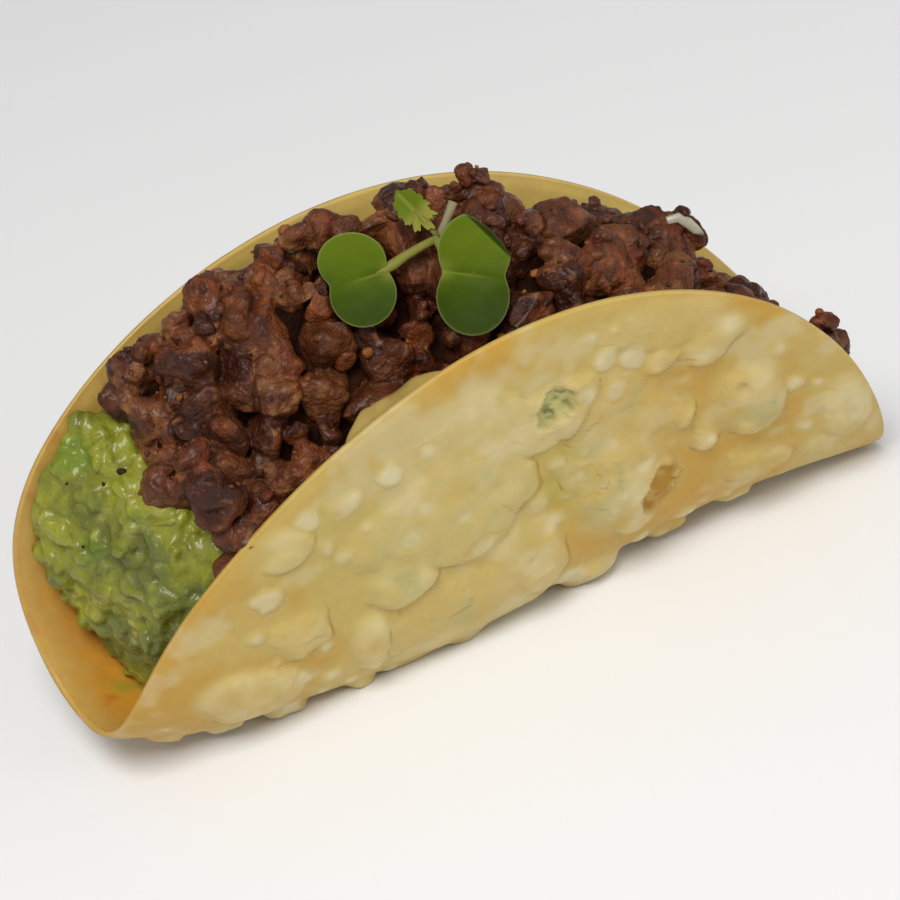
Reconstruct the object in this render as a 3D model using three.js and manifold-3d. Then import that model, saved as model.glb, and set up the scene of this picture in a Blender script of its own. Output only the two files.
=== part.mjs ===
// A small crisp taco: a round of fried dough folded over, with mashed avocado laid in the fold,
// browned mince heaped on it and one seedling of cress on top.
// Millimetres, +Z up. X runs along the fold, -Y is the lower wall, +Y the higher one.
import * as THREE from "three";
import { mergeVertices } from "three/addons/utils/BufferGeometryUtils.js";
import Module from "manifold-3d";

// The dough is a flat round before it is folded: "end" runs -1..1 along X and "arc" is the
// distance from the fold line over the dough, negative on the lower wall.
const HALF_LENGTH = 44.3;
const HALF_WIDTH = 45.2;
const SKIN = 1.3;
const RIM_THINNING = 0.35; // share of the thickness lost at the rim
const FOLD_OFFSET = { middle: 3.0, skew: -6.0 }; // the round's middle, measured from the fold
const FOLD_RADIUS = { front: 6.4, back: 9.0, taper: -0.6 };
const WALL_ANGLE = { middle: 1.444, skew: -0.065, ends: 0.052, lean: 0.014 };
const WALL_CURL = { front: -0.047, back: -0.011 };
const CURL_LENGTH = 45;
const FOLD_SHARPNESS = 1.5;
const END_TWIST = 0.145;
const TWIST_HEIGHT = 10;
const FOLD_DRIFT = { skew: -1.29, ends: -0.78 };
const FOLD_RISE = { skew: -3.6, ends: 3.23, wave: -6.99 };

// The finished taco is centred on the Z axis and stands on a small flat at z = 0.
const CENTRE_Y = 0.18;
const BASE_LIFT = 0.45;

// Blisters on the outside: [x, arc, radius, height].
const BLISTERS = [
  [-5, -25, 8, 1.2],
  [-24, -22, 5.5, 1.0],
  [-29, -11, 5.5, 0.9],
  [-14, -12, 5, 1.0],
  [2, -10, 5, 1.0],
  [11, -7, 4, 1.3],
  [17, -15, 5, 1.2],
  [29, -22, 5.5, 1.2],
  [37, -16, 5, 0.9],
  [9, -32, 5.5, 0.9],
  [21, -32, 5, 0.8],
  [-14, -31, 4, 0.8],
  [-28, 16, 6, 1.0],
  [-14, 24, 7, 1.1],
  [-3, 12, 5, 0.9],
  [4, 33, 6.5, 1.0],
  [12, 18, 6, 1.1],
  [24, 26, 5.5, 1.0],
  [31, 12, 5, 0.9],
  [-22, 36, 5, 0.8],
  [-34, 27, 4.5, 0.8],
];
// One long blister inside the lower wall, near its rim.
const INNER_BLISTER = { x: -4, arc: -35, halfLength: 11, halfWidth: 5.5, height: 2.2 };

const SKIN_CELLS = 34;
const SEAT_GAP = 0.45; // between dough and avocado
const MEAT_GAP = 0.7; // between meat and dough, and between meat and avocado
const CELL_HALF_STEP = 0.5;

// Avocado: [x, arc of its lower edge, arc of its upper edge, crown over the straight line].
const AVOCADO = [
  [-40.4, 19, 26, 0.8],
  [-38, 7, 31, 3.0],
  [-35.5, -2, 34.5, 4.0],
  [-32, -12, 37, 4.0],
  [-28, -22, 37.5, 3.0],
  [-24.5, -27, 34, 1.5],
  [-20, -20, 26, 0],
  [-8, -15, 17, 0],
  [12, -13, 14, 0],
  [26, -8, 9, 0],
  [32, -3, 3, 0],
];
const AVOCADO_STATIONS = 26;
const AVOCADO_TOP_CELLS = 11;
const AVOCADO_BED_CELLS = 10;
const AVOCADO_LUMP = { size: 5, height: 1.1, until: -29, fade: 4 };

// Meat: [x, start and end on its bed (0 lower rim, 1/3..2/3 avocado, 1 upper rim), crown].
const MEAT = [
  [-29.6, 0.57, 0.67, 2.5],
  [-27.5, 0.44, 0.77, 5.5],
  [-25, 0.14, 0.83, 8.5],
  [-22, 0.1, 0.87, 11],
  [-17, 0.1, 0.9, 12.5],
  [-10, 0.15, 0.9, 12.5],
  [-2, 0.17, 0.9, 11.5],
  [6, 0.08, 0.9, 11],
  [11, 0.05, 0.9, 9.5],
  [20, 0.05, 0.9, 5],
  [30, 0.05, 0.9, 5],
  [37, 0.05, 0.85, 5],
  [40.2, 0.15, 0.75, 2.5],
];
const MEAT_STATIONS = 38;
const MEAT_TOP_CELLS = 16;
const MEAT_BED_CELLS = 15;
const MEAT_CROWN_SKEW = 1.4; // moves the crest towards the higher wall
const MEAT_LUMP = { size: 6.5, height: 3.0 };

// Cress seedling, lying on the meat in a plane of its own: U to the right, V up, W out.
const CRESS_PLANE = { heading: 0.269, rise: 0.628, roll: -0.268 };
const CRESS_HUB = [4.45, -1.3, 44.0];
const LEAF_THICKNESS = 0.8;
// Each seed leaf is two rounded lobes grown together: [middle u, middle v, half width, half height].
const LEAVES = [
  {
    centre: [-7.6, -4.2, 0.4],
    lobes: [[-0.6, 1.7, 3.3, 2.8], [0.5, -1.4, 3.2, 3.2]],
    cup: 0.5,
  },
  {
    centre: [3.4, -3.7, 0.6],
    lobes: [[0.15, 2.2, 3.5, 3.7], [0, -2.2, 3.5, 3.7]],
    cup: 0.6,
  },
];
const LOBE_BLEND = 10;
const TRUE_LEAF = { centre: [-2.5, 2.7, 0.6], turn: 2.35, halfLength: 2.4, halfWidth: 1.4, teeth: 5 };
const STALKS = [
  { from: [0.2, -0.1, 0], to: [-5.5, -3.3, 0.35], radiusFrom: 0.5, radiusTo: 0.7 },
  { from: [-0.2, 0, 0], to: [1.6, -1.6, 0.4], radiusFrom: 0.5, radiusTo: 0.6 },
  { from: [0.2, -0.2, 0.1], to: [-1.6, 1.7, 0.5], radiusFrom: 0.45, radiusTo: 0.4 },
  { from: [0, -0.3, 0], to: [1.5, 3.2, -0.1], radiusFrom: 0.55, radiusTo: 0.45 },
];
const LEAF_SPOKES = 22;
const LEAF_RINGS = 3;
const STALK_SIDES = 7;

// ---------------------------------------------------------------- small helpers

const wasm = await Module();
wasm.setup();

function meshOf(name, geometry, colour) {
  geometry.computeVertexNormals();
  const mesh = new THREE.Mesh(geometry, new THREE.MeshStandardMaterial({ color: colour }));
  mesh.name = name;
  return mesh;
}

function geometryOf(points, faces) {
  const geometry = new THREE.BufferGeometry();
  const flat = points.flatMap((p) => [p.x, p.y, p.z]);
  geometry.setAttribute("position", new THREE.Float32BufferAttribute(flat, 3));
  geometry.setIndex(faces.flat());
  return geometry;
}

// Value of a table column at x, eased between the rows.
function column(table, x, index) {
  const last = table.length - 1;
  if (x <= table[0][0]) return table[0][index];
  if (x >= table[last][0]) return table[last][index];
  const row = table.findIndex((r) => r[0] > x) - 1;
  const [a, b] = [table[row], table[row + 1]];
  const share = (x - a[0]) / (b[0] - a[0]);
  return a[index] + (b[index] - a[index]) * share;
}

// Repeatable jitter in 0..1 for a grid cell.
function jitter(i, j, salt) {
  const value = Math.sin(i * 127.1 + j * 311.7 + salt * 74.7) * 43758.5453;
  return value - Math.floor(value);
}

// Rounded crumbs packed over a plane: 0 in the gaps, 1 on top of a crumb.
function crumbs(x, y, size) {
  let top = 0;
  const column0 = Math.floor(x / size);
  const row0 = Math.floor(y / size);
  for (let i = column0 - 1; i <= column0 + 1; i++) {
    for (let j = row0 - 1; j <= row0 + 1; j++) {
      const dx = x / size - i - CELL_HALF_STEP - (jitter(i, j, 1) - 0.5) * 0.7;
      const dy = y / size - j - CELL_HALF_STEP - (jitter(i, j, 2) - 0.5) * 0.7;
      const reach = 0.55 + 0.2 * jitter(i, j, 3);
      const inside = 1 - (dx * dx + dy * dy) / (reach * reach);
      if (inside > 0) top = Math.max(top, Math.sqrt(inside) * (0.6 + 0.4 * jitter(i, j, 4)));
    }
  }
  return top;
}

// Faces of a grid of rows and columns of points; "flip" turns them round.
function gridFaces(rows, columns, start, flip) {
  const faces = [];
  for (let i = 0; i < rows - 1; i++) {
    for (let j = 0; j < columns - 1; j++) {
      const a = start + i * columns + j;
      const quad = [a, a + 1, a + columns + 1, a + columns];
      const cut = flip ? [0, 2, 1, 0, 3, 2] : [0, 1, 2, 0, 2, 3];
      faces.push(cut.map((k) => quad[k]));
    }
  }
  return faces;
}

// A closed body through rings of points, with a middle point closing each end.
function loft(rings) {
  const count = rings[0].length;
  const points = rings.flat();
  const faces = [];
  for (let i = 0; i < rings.length - 1; i++) {
    for (let j = 0; j < count; j++) {
      const a = i * count + j;
      const b = i * count + ((j + 1) % count);
      faces.push([a, b, b + count, a, b + count, a + count]);
    }
  }
  const caps = [rings[0], rings[rings.length - 1]];
  caps.forEach((ring, side) => {
    const middle = ring.reduce((sum, p) => sum.add(p), new THREE.Vector3());
    const tip = points.push(middle.divideScalar(count)) - 1;
    const first = side * (rings.length - 1) * count;
    for (let j = 0; j < count; j++) {
      const a = first + j;
      const b = first + ((j + 1) % count);
      faces.push(side ? [a, b, tip] : [b, a, tip]);
    }
  });
  return geometryOf(points, faces);
}

// ---------------------------------------------------------------- the folded dough

// How far the dough has turned up from flat at an arc length away from the fold.
function turnAt(side, end, arc) {
  const radius = (side < 0 ? FOLD_RADIUS.front : FOLD_RADIUS.back) + FOLD_RADIUS.taper * end;
  const angle =
    WALL_ANGLE.middle + WALL_ANGLE.skew * end + WALL_ANGLE.ends * end * end + side * WALL_ANGLE.lean;
  const bend = Math.tanh(Math.pow(arc / (radius * angle), FOLD_SHARPNESS));
  const curl = side < 0 ? WALL_CURL.front : WALL_CURL.back;
  return angle * Math.pow(bend, 1 / FOLD_SHARPNESS) + (curl * arc) / CURL_LENGTH;
}

// Middle of the dough's thickness.
function doughMiddle(end, arc) {
  const side = arc < 0 ? -1 : 1;
  const steps = Math.max(2, Math.ceil(Math.abs(arc)));
  const step = Math.abs(arc) / steps;
  let run = 0;
  let rise = 0;
  for (let i = 0; i < steps; i++) {
    const turn = turnAt(side, end, (i + 0.5) * step);
    run += Math.cos(turn) * step;
    rise += Math.sin(turn) * step;
  }
  const twist = END_TWIST * end * end;
  const y = side * run;
  const z = rise - TWIST_HEIGHT;
  return new THREE.Vector3(
    end * HALF_LENGTH,
    y * Math.cos(twist) - z * Math.sin(twist) + FOLD_DRIFT.skew * end + FOLD_DRIFT.ends * end ** 2 - CENTRE_Y,
    y * Math.sin(twist) + z * Math.cos(twist) + TWIST_HEIGHT + FOLD_RISE.skew * end
      + FOLD_RISE.ends * end ** 2 + FOLD_RISE.wave * (end ** 3 - end) + BASE_LIFT,
  );
}

// A point inside (+) or outside (-) the middle of the dough.
function doughPoint(end, arc, inwards) {
  const small = 0.01;
  const along = doughMiddle(end + small, arc).sub(doughMiddle(end - small, arc));
  const across = doughMiddle(end, arc + small).sub(doughMiddle(end, arc - small));
  const normal = along.cross(across).normalize();
  return doughMiddle(end, arc).addScaledVector(normal, inwards);
}

function blisterHeight(x, arc) {
  let height = 0;
  for (const [bx, barc, radius, rise] of BLISTERS) {
    const inside = 1 - ((x - bx) ** 2 + (arc - barc) ** 2) / radius ** 2;
    if (inside > 0) height = Math.max(height, rise * Math.pow(inside, 0.6));
  }
  return height;
}

function innerBulge(x, arc) {
  const b = INNER_BLISTER;
  const inside = 1 - ((x - b.x) / b.halfLength) ** 2 - ((arc - b.arc) / b.halfWidth) ** 2;
  return inside > 0 ? b.height * Math.pow(inside, 0.7) : 0;
}

// The round's grid: a square of cells drawn smoothly out to a circle.
function roundGrid(cells) {
  const places = [];
  for (let i = 0; i <= cells; i++) {
    for (let j = 0; j <= cells; j++) {
      const a = (2 * i) / cells - 1;
      const b = (2 * j) / cells - 1;
      places.push([a * Math.sqrt(1 - (b * b) / 2), b * Math.sqrt(1 - (a * a) / 2)]);
    }
  }
  return places;
}

function arcOf(end, across) {
  return across * HALF_WIDTH + FOLD_OFFSET.middle + FOLD_OFFSET.skew * end;
}

// Rim arc of the lower (-1) or higher (+1) wall at x.
function rimArc(end, side) {
  return arcOf(end, side * Math.sqrt(Math.max(0, 1 - end * end)));
}

function makeShell() {
  const places = roundGrid(SKIN_CELLS);
  const outside = [];
  const inside = [];
  for (const [end, across] of places) {
    const arc = arcOf(end, across);
    const x = end * HALF_LENGTH;
    const edge = Math.pow(end * end + across * across, 6);
    const half = (SKIN / 2) * (1 - RIM_THINNING * edge);
    const out = doughPoint(end, arc, -half - blisterHeight(x, arc) * (1 - edge));
    out.z = Math.max(0, out.z);
    outside.push(out);
    inside.push(doughPoint(end, arc, half + innerBulge(x, arc) * (1 - edge)));
  }
  const side = SKIN_CELLS + 1;
  const faces = [
    ...gridFaces(side, side, 0, false),
    ...gridFaces(side, side, places.length, true),
    ...rimFaces(side, places.length),
  ];
  return geometryOf([...outside, ...inside], faces);
}

// The band that joins the outside and the inside round the rim.
function rimFaces(side, inner) {
  const loop = [];
  for (let k = 0; k < side - 1; k++) loop.push(k);
  for (let k = 0; k < side - 1; k++) loop.push(k * side + side - 1);
  for (let k = side - 1; k > 0; k--) loop.push((side - 1) * side + k);
  for (let k = side - 1; k > 0; k--) loop.push(k * side);
  return loop.map((a, k) => {
    const b = loop[(k + 1) % loop.length];
    return [a, b + inner, b, a, a + inner, b + inner];
  });
}

// ---------------------------------------------------------------- the filling

// Where filling lies against the dough.
function seat(end, arc, gap) {
  return doughPoint(end, arc, SKIN / 2 + innerBulge(end * HALF_LENGTH, arc) + gap);
}

// Upper surface of the avocado, share 0 at the lower wall and 1 at the higher one;
// "bare" is the height of the meat's bed over it.
function avocadoTop(x, share, bare) {
  const end = x / HALF_LENGTH;
  const low = seat(end, column(AVOCADO, x, 1), SEAT_GAP);
  const high = seat(end, column(AVOCADO, x, 2), SEAT_GAP);
  const crown = column(AVOCADO, x, 3) * 4 * share * (1 - share);
  const point = low.clone().lerp(high, share);
  const across = high.sub(low).normalize();
  const out = new THREE.Vector3(0, -across.z, across.y);
  const lump = bare ? 0 : crumbs(x, share * 25, AVOCADO_LUMP.size) * AVOCADO_LUMP.height;
  const fade = THREE.MathUtils.clamp((AVOCADO_LUMP.until - x) / AVOCADO_LUMP.fade + 1, 0, 1);
  const pinned = Math.min(1, 8 * share * (1 - share));
  return point.addScaledVector(out, crown + lump * fade * pinned + bare);
}

function avocadoRing(x) {
  const end = x / HALF_LENGTH;
  const low = column(AVOCADO, x, 1);
  const high = column(AVOCADO, x, 2);
  const ring = [];
  for (let i = 0; i < AVOCADO_BED_CELLS; i++) {
    ring.push(seat(end, low + ((high - low) * i) / AVOCADO_BED_CELLS, SEAT_GAP));
  }
  for (let i = 0; i < AVOCADO_TOP_CELLS; i++) {
    ring.push(avocadoTop(x, 1 - i / AVOCADO_TOP_CELLS, 0));
  }
  return ring;
}

function stations(table, count) {
  const first = table[0][0];
  const last = table[table.length - 1][0];
  return Array.from({ length: count }, (_, i) => first + ((last - first) * i) / (count - 1));
}

// The bed of the meat: down the lower wall, over the avocado and up the higher wall.
function bed(x, place) {
  const end = x / HALF_LENGTH;
  if (place < 1 / 3) {
    const rim = rimArc(end, -1);
    return seat(end, rim + (column(AVOCADO, x, 1) - 1 - rim) * place * 3, MEAT_GAP);
  }
  if (place > 2 / 3) {
    const rim = rimArc(end, 1);
    return seat(end, rim + (column(AVOCADO, x, 2) + 1 - rim) * (1 - place) * 3, MEAT_GAP);
  }
  return avocadoTop(x, place * 3 - 1, MEAT_GAP + 0.5);
}

function meatTop(x, start, finish, share) {
  const low = bed(x, start);
  const high = bed(x, finish);
  const skewed = Math.pow(share, MEAT_CROWN_SKEW);
  const arch = Math.pow(Math.sin(Math.PI * skewed), 0.8);
  const point = low.lerp(high, share);
  const lump = crumbs(x, share * 30, MEAT_LUMP.size);
  const pinned = Math.min(1, 6 * share * (1 - share));
  point.z += column(MEAT, x, 3) * arch + lump * MEAT_LUMP.height * pinned;
  return point;
}

function meatRing(x) {
  const start = column(MEAT, x, 1);
  const finish = column(MEAT, x, 2);
  const ring = [];
  for (let i = 0; i < MEAT_BED_CELLS; i++) {
    ring.push(bed(x, start + ((finish - start) * i) / MEAT_BED_CELLS));
  }
  for (let i = 0; i < MEAT_TOP_CELLS; i++) {
    ring.push(meatTop(x, start, finish, 1 - i / MEAT_TOP_CELLS));
  }
  return ring;
}

// ---------------------------------------------------------------- the seedling

function cressFrame() {
  const { heading, rise, roll } = CRESS_PLANE;
  const out = new THREE.Vector3(
    -Math.sin(heading) * Math.cos(rise),
    -Math.cos(heading) * Math.cos(rise),
    Math.sin(rise),
  );
  const level = new THREE.Vector3(Math.cos(heading), -Math.sin(heading), 0);
  const upright = out.clone().cross(level);
  const right = level.clone().multiplyScalar(Math.cos(roll)).addScaledVector(upright, Math.sin(roll));
  const up = level.multiplyScalar(-Math.sin(roll)).addScaledVector(upright, Math.cos(roll));
  const frame = new THREE.Matrix4().makeBasis(right, up, out);
  return frame.setPosition(CRESS_HUB[0], CRESS_HUB[1] - CENTRE_Y, CRESS_HUB[2] + BASE_LIFT);
}

// Distance from a point to the far side of an oval lobe, or 0 where the lobe isn't that way.
function lobeReach([u, v, halfWidth, halfHeight], angle) {
  const [du, dv] = [Math.cos(angle) / halfWidth, Math.sin(angle) / halfHeight];
  const [cu, cv] = [u / halfWidth, v / halfHeight];
  const square = du * du + dv * dv;
  const along = (du * cu + dv * cv) / square;
  const inside = along * along - (cu * cu + cv * cv - 1) / square;
  return inside < 0 ? 0 : Math.max(0, along + Math.sqrt(inside));
}

function leafReach(leaf, angle) {
  const powers = leaf.lobes.map((lobe) => lobeReach(lobe, angle) ** LOBE_BLEND);
  return powers.reduce((sum, p) => sum + p, 0) ** (1 / LOBE_BLEND);
}

function toothedReach(leaf, angle) {
  const turned = angle - leaf.turn;
  const oval = 1 / Math.hypot(Math.cos(turned) / leaf.halfLength, Math.sin(turned) / leaf.halfWidth);
  return oval * (1 + 0.16 * Math.cos(2 * leaf.teeth * turned));
}

// A thin cupped plate inside a margin, closed round its edge.
function makeLeaf(leaf, reach, cup) {
  const points = [];
  const faces = [];
  const place = (share, angle, lift) => {
    const r = reach(leaf, angle) * share;
    const out = cup * share * share + lift * Math.sqrt(1 - (share * 0.85) ** 2);
    return new THREE.Vector3(
      leaf.centre[0] + r * Math.cos(angle),
      leaf.centre[1] + r * Math.sin(angle),
      leaf.centre[2] + out,
    );
  };
  for (const lift of [LEAF_THICKNESS / 2, -LEAF_THICKNESS / 2]) {
    points.push(place(0, 0, lift));
    for (let ring = 1; ring <= LEAF_RINGS; ring++) {
      for (let k = 0; k < LEAF_SPOKES; k++) {
        points.push(place(ring / LEAF_RINGS, (2 * Math.PI * k) / LEAF_SPOKES, lift));
      }
    }
  }
  const half = points.length / 2;
  const at = (ring, k) => 1 + (ring - 1) * LEAF_SPOKES + (k % LEAF_SPOKES);
  for (let k = 0; k < LEAF_SPOKES; k++) {
    faces.push([0, at(1, k), at(1, k + 1)]);
    faces.push([half, half + at(1, k + 1), half + at(1, k)]);
    for (let ring = 1; ring < LEAF_RINGS; ring++) {
      const quad = [at(ring, k), at(ring + 1, k), at(ring + 1, k + 1), at(ring, k + 1)];
      faces.push([quad[0], quad[1], quad[2], quad[0], quad[2], quad[3]]);
      faces.push([0, 2, 1, 0, 3, 2].map((q) => half + quad[q]));
    }
    const [a, b] = [at(LEAF_RINGS, k), at(LEAF_RINGS, k + 1)];
    faces.push([a, half + a, half + b, a, half + b, b]);
  }
  return geometryOf(points, faces);
}

function makeStalk({ from, to, radiusFrom, radiusTo }) {
  const start = new THREE.Vector3(...from);
  const finish = new THREE.Vector3(...to);
  const length = start.distanceTo(finish);
  const stalk = new THREE.CylinderGeometry(radiusTo, radiusFrom, length, STALK_SIDES, 1);
  const along = finish.clone().sub(start).normalize();
  const turn = new THREE.Quaternion().setFromUnitVectors(new THREE.Vector3(0, 1, 0), along);
  stalk.applyQuaternion(turn);
  const middle = start.add(finish).divideScalar(2);
  return stalk.translate(middle.x, middle.y, middle.z);
}

function solidOf(geometry) {
  const plain = geometry.clone();
  plain.deleteAttribute("normal");
  plain.deleteAttribute("uv");
  const merged = mergeVertices(plain, 1e-4);
  return new wasm.Manifold(
    new wasm.Mesh({
      numProp: 3,
      vertProperties: merged.attributes.position.array,
      triVerts: new Uint32Array(merged.index.array),
    }),
  );
}

function makeCress() {
  const pieces = [
    ...LEAVES.map((leaf) => makeLeaf(leaf, leafReach, leaf.cup)),
    makeLeaf(TRUE_LEAF, toothedReach, 0.2),
    ...STALKS.map(makeStalk),
  ];
  const joined = wasm.Manifold.union(pieces.map(solidOf)).getMesh();
  const geometry = new THREE.BufferGeometry();
  geometry.setAttribute("position", new THREE.BufferAttribute(joined.vertProperties, 3));
  geometry.setIndex(new THREE.BufferAttribute(joined.triVerts, 1));
  return geometry.applyMatrix4(cressFrame());
}

// ---------------------------------------------------------------- the taco

const group = new THREE.Group();
group.name = "taco";
group.add(meshOf("shell", makeShell(), 0xe4cf8a));
group.add(meshOf("avocado", loft(stations(AVOCADO, AVOCADO_STATIONS).map(avocadoRing)), 0x9fb444));
group.add(meshOf("mince", loft(stations(MEAT, MEAT_STATIONS).map(meatRing)), 0x5b3a2a));
group.add(meshOf("cress", makeCress(), 0x4f8a2a));

export default group;
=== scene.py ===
"""Looks of the small filled taco: fried dough, avocado, browned mince and a cress seedling."""

import itertools
import math

import bmesh
import bpy
import numpy as np
from mathutils import Matrix, Vector
from mathutils.bvhtree import BVHTree
from mathutils.kdtree import KDTree


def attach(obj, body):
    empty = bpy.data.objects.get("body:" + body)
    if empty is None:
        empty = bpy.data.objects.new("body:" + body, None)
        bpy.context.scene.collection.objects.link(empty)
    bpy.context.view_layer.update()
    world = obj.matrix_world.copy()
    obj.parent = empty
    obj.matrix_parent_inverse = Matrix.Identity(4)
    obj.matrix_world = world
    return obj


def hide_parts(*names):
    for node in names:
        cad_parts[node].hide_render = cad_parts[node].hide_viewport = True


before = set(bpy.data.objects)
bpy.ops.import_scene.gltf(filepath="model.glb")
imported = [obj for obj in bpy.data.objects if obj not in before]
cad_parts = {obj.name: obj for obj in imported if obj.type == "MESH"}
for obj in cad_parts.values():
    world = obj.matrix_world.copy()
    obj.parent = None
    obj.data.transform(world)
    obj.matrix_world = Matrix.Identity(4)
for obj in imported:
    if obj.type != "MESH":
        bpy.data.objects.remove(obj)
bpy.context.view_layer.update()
MM = 0.001

# Sizes shared with the CAD source, in millimetres. FOLD_RADIUS and WALL_CURL are the lower wall's
# and the higher wall's.
HALF_LENGTH = 44.3
HALF_WIDTH = 45.2
SKIN = 1.3
RIM_THINNING = 0.35
FOLD_OFFSET = (3.0, -6.0)
FOLD_RADIUS = (6.4, 9.0)
RADIUS_TAPER = -0.6
WALL_ANGLE = (1.444, -0.065, 0.052, 0.014)
WALL_CURL = (-0.047, -0.011)
CURL_LENGTH = 45.0
FOLD_SHARPNESS = 1.5
END_TWIST = 0.145
TWIST_HEIGHT = 10.0
FOLD_DRIFT = (-1.29, -0.78)
FOLD_RISE = (-3.6, 3.23, -6.99)
CENTRE_Y = 0.18
BASE_LIFT = 0.45
# Where the camera looks from, and the seedling's leaves face: angles in radians.
VIEW = {"heading": 0.269, "rise": 0.628, "roll": -0.268}
CRESS_HUB = (4.45, -1.3, 44.0)

# How finely the looks are made: cells across the dough, and voxels in millimetres.
DOUGH_CELLS = 218
AVOCADO_VOXEL = 0.3
CRUMB_VOXEL = 0.226
CORE_VOXEL = 0.55
CRUMB_LEVEL = 3
GRAIN_TRIES = 260


# ---- noise

def lattice(ix, iy, iz, salt):
    h = (ix * 73856093) ^ (iy * 19349663) ^ (iz * 83492791) ^ (salt * 26544357)
    h = ((h ^ (h >> 13)) * 1274126177) & 0xFFFFFFFF
    h = ((h ^ (h >> 15)) * 668265263) & 0xFFFFFFFF
    return ((h >> 8) & 0xFFFF) / 65535.0


def noise(points, size, salt=0):
    """Smooth noise, about -1 to 1, with features of the given size."""
    q = points / size
    base = np.floor(q).astype(np.int64)
    f = q - base
    f = f * f * (3 - 2 * f)
    total = np.zeros(len(q))
    for corner in itertools.product((0, 1), repeat=3):
        weight = np.prod(np.where(corner, f, 1 - f), axis=1)
        total += weight * lattice(*(base[:, a] + corner[a] for a in range(3)), salt)
    return 2 * total - 1


def fractal(points, size, octaves=3, salt=0):
    total = np.zeros(len(points))
    for k in range(octaves):
        total += noise(points, size / 2**k, salt + k) * 0.55**k
    return total


def cells(points, size, salt=0):
    """Distances to the two nearest of scattered seeds, in cells."""
    q = points / size
    base = np.floor(q).astype(np.int64)
    first = np.full(len(q), 9.0)
    second = np.full(len(q), 9.0)
    for step in itertools.product((-1, 0, 1), repeat=3):
        i = [base[:, a] + step[a] for a in range(3)]
        seed = np.stack([i[a] + lattice(*i, salt + a) for a in range(3)], 1)
        d = np.linalg.norm(q - seed, axis=1)
        second = np.minimum(second, np.maximum(first, d))
        first = np.minimum(first, d)
    return first, second


def smooth(low, high, value):
    t = np.clip((value - low) / (high - low), 0, 1)
    return t * t * (3 - 2 * t)


def mix(a, b, share):
    share = np.asarray(share, float)
    if share.ndim == 1:
        share = share[:, None]
    return a * (1 - share) + b * share


def coated(colour, *coats):
    """A colour under coats of (red, green, blue, share)."""
    for *tone, share in coats:
        colour = mix(colour, rgb(*tone), share)
    return colour


def rgb(r, g, b):
    """A colour given as 0..255 display values, in linear light."""
    c = np.array([r, g, b], float) / 255
    return np.where(c <= 0.04045, c / 12.92, ((c + 0.055) / 1.055) ** 2.4)


# ---- meshes

def add_mesh(name, points, faces, material, tint, extra=None):
    """A mesh object from millimetre points, with a colour at each."""
    mesh = bpy.data.meshes.new(name)
    mesh.from_pydata((points * MM).tolist(), [], faces)
    mesh.shade_smooth()
    colours = mesh.color_attributes.new("tint", "FLOAT_COLOR", "POINT")
    rgba = np.ones((len(points), 4), np.float32)
    rgba[:, :3] = np.clip(tint, 0, 1)
    colours.data.foreach_set("color", rgba.ravel())
    for key, values in (extra or {}).items():
        layer = mesh.attributes.new(key, "FLOAT", "POINT")
        layer.data.foreach_set("value", np.asarray(values, np.float32))
    mesh.materials.append(material)
    mesh.update()
    return linked(name, mesh)


def linked(name, data):
    obj = bpy.data.objects.new(name, data)
    bpy.context.scene.collection.objects.link(obj)
    return obj


def joined(pieces):
    """Pieces of (points, faces) as one."""
    faces = []
    start = 0
    for points, piece_faces in pieces:
        faces.extend([i + start for i in f] for f in piece_faces)
        start += len(points)
    return np.concatenate([points for points, _ in pieces]), faces


def fused(pieces, voxel, relax=0):
    """One closed skin round all the pieces (points, faces), in millimetres."""
    points, faces = joined(pieces)
    mesh = bpy.data.meshes.new("work")
    mesh.from_pydata(points.tolist(), [], faces)
    obj = linked("work", mesh)
    remesh = obj.modifiers.new("skin", "REMESH")
    remesh.mode = "VOXEL"
    remesh.voxel_size = voxel
    if relax:
        soften = obj.modifiers.new("soften", "SMOOTH")
        soften.iterations = relax
        soften.factor = 0.5
    graph = bpy.context.evaluated_depsgraph_get()
    done = bpy.data.meshes.new_from_object(obj.evaluated_get(graph))
    points, normals = np.zeros((2, len(done.vertices) * 3))
    done.vertices.foreach_get("co", points)
    done.vertices.foreach_get("normal", normals)
    faces = [tuple(poly.vertices) for poly in done.polygons]
    bpy.data.objects.remove(obj)
    bpy.data.meshes.remove(mesh)
    bpy.data.meshes.remove(done)
    return points.reshape(-1, 3), normals.reshape(-1, 3), faces


def ball(level):
    mesh = bmesh.new()
    bmesh.ops.create_icosphere(mesh, subdivisions=level, radius=1.0)
    points = np.array([v.co[:] for v in mesh.verts])
    faces = [[v.index for v in f.verts] for f in mesh.faces]
    mesh.free()
    return points, faces


def random_turn(rng):
    """A random rotation matrix."""
    q = rng.normal(size=4)
    w, *axis = q / np.linalg.norm(q)
    spin = np.cross(np.eye(3), axis)
    return np.eye(3) + 2 * w * spin + 2 * spin @ spin


def cad_mesh(node):
    """Points in millimetres, normals and faces of a CAD node."""
    work = bmesh.new()
    work.from_mesh(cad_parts[node].data)
    bmesh.ops.remove_doubles(work, verts=work.verts, dist=1e-6)
    work.normal_update()
    points = np.array([v.co[:] for v in work.verts]) / MM
    normals = np.array([v.normal[:] for v in work.verts])
    faces = [[v.index for v in f.verts] for f in work.faces]
    work.free()
    return points, normals, faces


def thickness(points, normals, faces):
    """Depth of solid behind each point."""
    tree = BVHTree.FromPolygons(points.tolist(), faces)
    depth = []
    for p, n in zip(points, normals):
        inward = Vector(-n)
        depth.append(tree.ray_cast(Vector(p) + inward * 0.02, inward)[3] or 0.0)
    return np.array(depth)


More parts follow.
